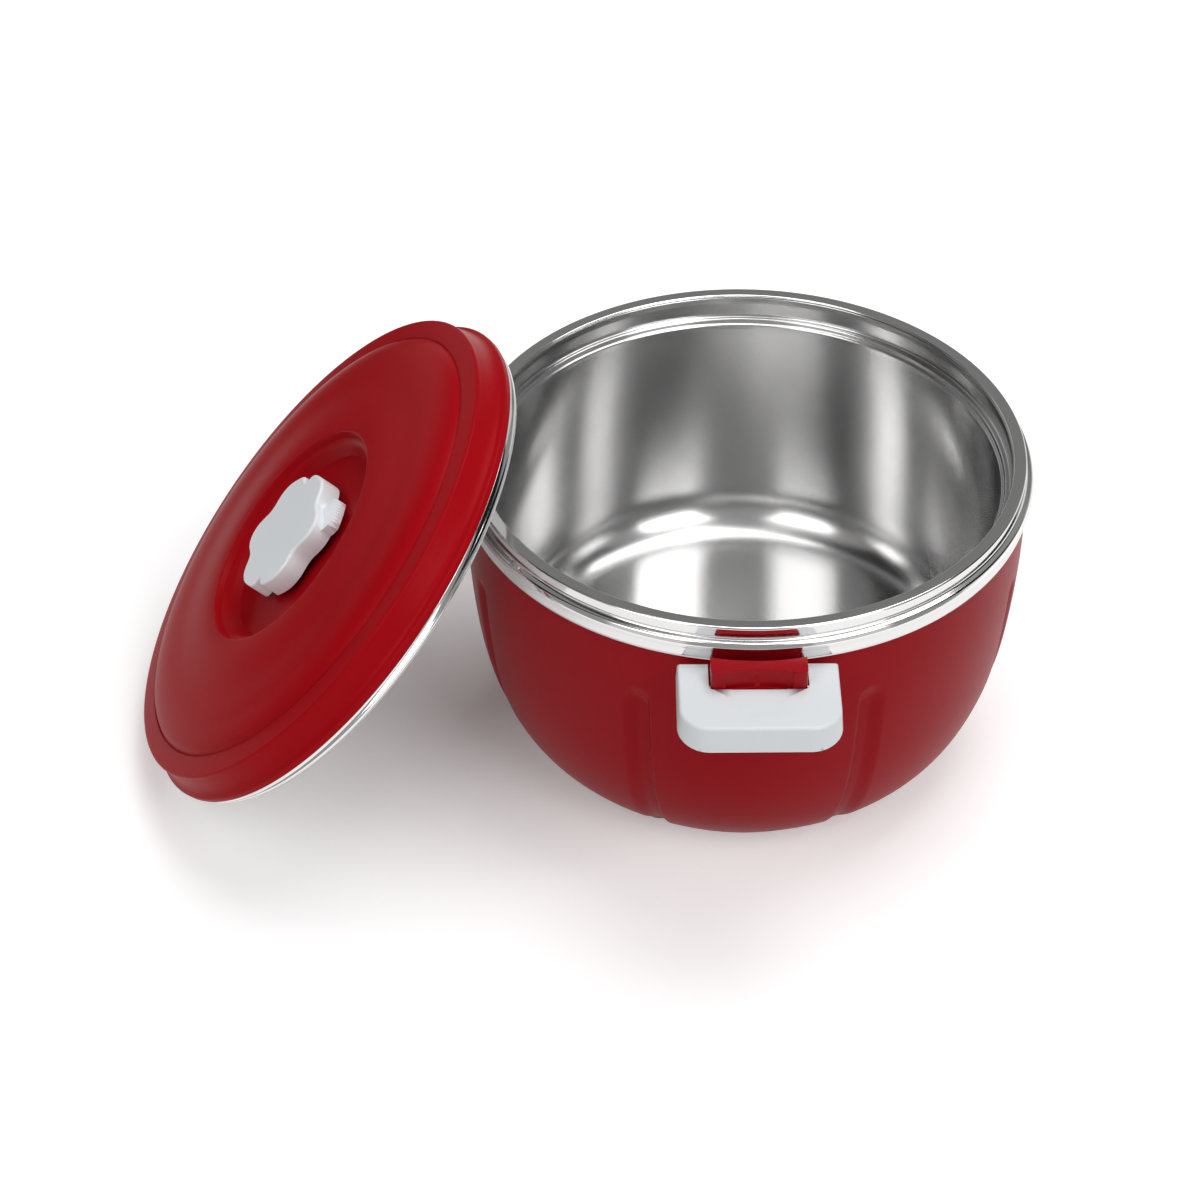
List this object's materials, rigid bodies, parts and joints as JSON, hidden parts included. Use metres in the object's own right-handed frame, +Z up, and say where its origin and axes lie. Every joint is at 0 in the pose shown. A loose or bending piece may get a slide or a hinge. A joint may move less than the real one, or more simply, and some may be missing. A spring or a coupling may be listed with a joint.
{
  "type": "insulated casserole",
  "caption": "Round insulated casserole for flat breads: steel-lined bowl with a folding ear, and a loose insulated lid with a turning vent knob that leans on its rim.",
  "frame": {"origin": "middle of the bowl's foot, on the table", "axes": "+Z up along the bowl's axis, -Y towards the ear, -X towards the leaning lid"},
  "size_m": [0.3958, 0.289, 0.1882],
  "materials": {
    "red_shell": "satin",
    "red_trim": "gloss",
    "white_ear": "satin",
    "white_knob": "satin",
    "grey_plastic": "matte",
    "dark_plastic": "matte",
    "polished_steel": "polished",
    "satin_steel": "satin",
    "screw_steel": "machined",
    "foam": "foamed",
    "silicone": "matte"
  },
  "bodies": {
    "bowl_body": {"outer_shell": "red_shell", "base_cover": "dark_plastic", "base_screws": "screw_steel", "foam_fill": "foam", "inner_bowl": "satin_steel", "rim_ring": "polished_steel", "rim_seal": "silicone", "ear_lug": "red_trim", "ear_pin": "screw_steel", "ear_screws": "screw_steel"},
    "ear_body": {"ear": "white_ear"},
    "lid_body": {"lid_cover": "red_shell", "lid_inner_plate": "polished_steel", "lid_foam": "foam", "lid_gasket": "silicone", "vent_tube": "grey_plastic"},
    "knob_body": {"knob": "white_knob", "knob_spindle": "grey_plastic", "knob_washer": "screw_steel", "knob_screw": "screw_steel", "vent_seal": "silicone"}
  },
  "joints": [
    {"name": "lid_swing", "type": "hinge", "parent": "bowl_body", "child": "lid_body", "pos_m": [0.08644, 0.00196, -0.03318], "axis": [-0.0227, 0.9997, 0], "range_deg": [0, 48.1]},
    {"name": "knob_turn", "type": "hinge", "parent": "lid_body", "child": "knob_body", "pos_m": [-0.17828, -0.00405, 0.08824], "axis": [-0.7441, -0.0169, 0.6678], "range_deg": [0, 60]},
    {"name": "ear_fold", "type": "hinge", "parent": "bowl_body", "child": "ear_body", "pos_m": [0, -0.1348, 0.1294], "axis": [1, 0, 0], "range_deg": [0, 90]}
  ]
}
